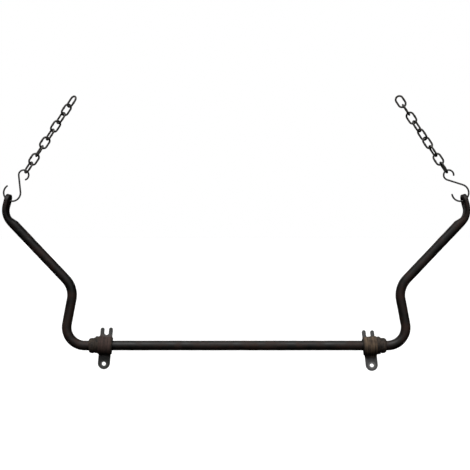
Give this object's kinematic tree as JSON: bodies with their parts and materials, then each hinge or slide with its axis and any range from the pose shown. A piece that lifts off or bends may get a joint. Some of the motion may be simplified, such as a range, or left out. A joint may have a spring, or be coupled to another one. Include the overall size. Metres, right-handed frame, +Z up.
{
  "type": "hung anti-roll bar",
  "caption": "Bent steel anti-roll bar with forged eyes, rubber bushes and pressed brackets, hung by its eyes on S-hooks and chain.",
  "frame": {"origin": "midway between the two hanging points, which are inside the crowns of the two top chain links", "axes": "+X along the straight length of the bar to the right, +Z up, +Y backwards from the side that the brackets' straps bulge to"},
  "size_m": [1.0532, 0.0495, 0.6222],
  "materials": {
    "bar_paint": "worn black paint over forged steel, rust tinted",
    "bracket_steel": "dull brown surface rust over pressed steel",
    "bush_rubber": "dusty moulded rubber",
    "hook_wire": "dark bent wire, satin",
    "chain_steel": "dark tarnished welded chain"
  },
  "bodies": {
    "hanging_links": {"left_link_9": "chain_steel", "right_link_9": "chain_steel"},
    "left_upper_chain": {"left_link_8": "chain_steel", "left_link_7": "chain_steel", "left_link_6": "chain_steel", "left_link_5": "chain_steel"},
    "left_lower_chain": {"left_link_4": "chain_steel", "left_link_3": "chain_steel", "left_link_2": "chain_steel", "left_link_1": "chain_steel"},
    "left_hook": {"left_hook": "hook_wire"},
    "right_upper_chain": {"right_link_8": "chain_steel", "right_link_7": "chain_steel", "right_link_6": "chain_steel", "right_link_5": "chain_steel"},
    "right_lower_chain": {"right_link_4": "chain_steel", "right_link_3": "chain_steel", "right_link_2": "chain_steel", "right_link_1": "chain_steel"},
    "right_hook": {"right_hook": "hook_wire"},
    "bar": {"anti_roll_bar": "bar_paint"},
    "left_mounting": {"left_bracket": "bracket_steel", "left_bush": "bush_rubber"},
    "right_mounting": {"right_bracket": "bracket_steel", "right_bush": "bush_rubber"}
  },
  "joints": [
    {"name": "left_upper_chain_swing", "type": "hinge", "parent": "hanging_links", "child": "left_upper_chain", "pos_m": [-0.37707, 0, -0.01872], "axis": [1, 0, 0], "range_deg": [-15, 15]},
    {"name": "left_lower_chain_swing", "type": "hinge", "parent": "left_upper_chain", "child": "left_lower_chain", "pos_m": [-0.42569, 0, -0.09303], "axis": [1, 0, 0], "range_deg": [-15, 15]},
    {"name": "left_hook_swing", "type": "hinge", "parent": "left_lower_chain", "child": "left_hook", "pos_m": [-0.47313, 0, -0.16551], "axis": [1, 0, 0], "range_deg": [-16, 16]},
    {"name": "right_upper_chain_swing", "type": "hinge", "parent": "hanging_links", "child": "right_upper_chain", "pos_m": [0.37707, 0, -0.01872], "axis": [1, 0, 0], "range_deg": [-15, 15]},
    {"name": "right_lower_chain_swing", "type": "hinge", "parent": "right_upper_chain", "child": "right_lower_chain", "pos_m": [0.42569, 0, -0.09303], "axis": [1, 0, 0], "range_deg": [-15, 15]},
    {"name": "right_hook_swing", "type": "hinge", "parent": "right_lower_chain", "child": "right_hook", "pos_m": [0.47313, 0, -0.16551], "axis": [1, 0, 0], "range_deg": [-16, 16]},
    {"name": "bar_swing", "type": "hinge", "parent": "left_hook", "child": "bar", "pos_m": [-0.516, 0, -0.23103], "axis": [1, 0, 0], "range_deg": [-45, 45]},
    {"name": "left_bracket_turn", "type": "hinge", "parent": "bar", "child": "left_mounting", "pos_m": [-0.2962, 0, -0.55963], "axis": [1, 0, 0], "continuous": true},
    {"name": "right_bracket_turn", "type": "hinge", "parent": "bar", "child": "right_mounting", "pos_m": [0.3024, 0, -0.55963], "axis": [1, 0, 0], "continuous": true}
  ],
  "couplings": [
    {"joint": "right_upper_chain_swing", "follows": "left_upper_chain_swing", "ratio": 1},
    {"joint": "right_lower_chain_swing", "follows": "left_lower_chain_swing", "ratio": 1},
    {"joint": "right_hook_swing", "follows": "left_hook_swing", "ratio": 1}
  ]
}
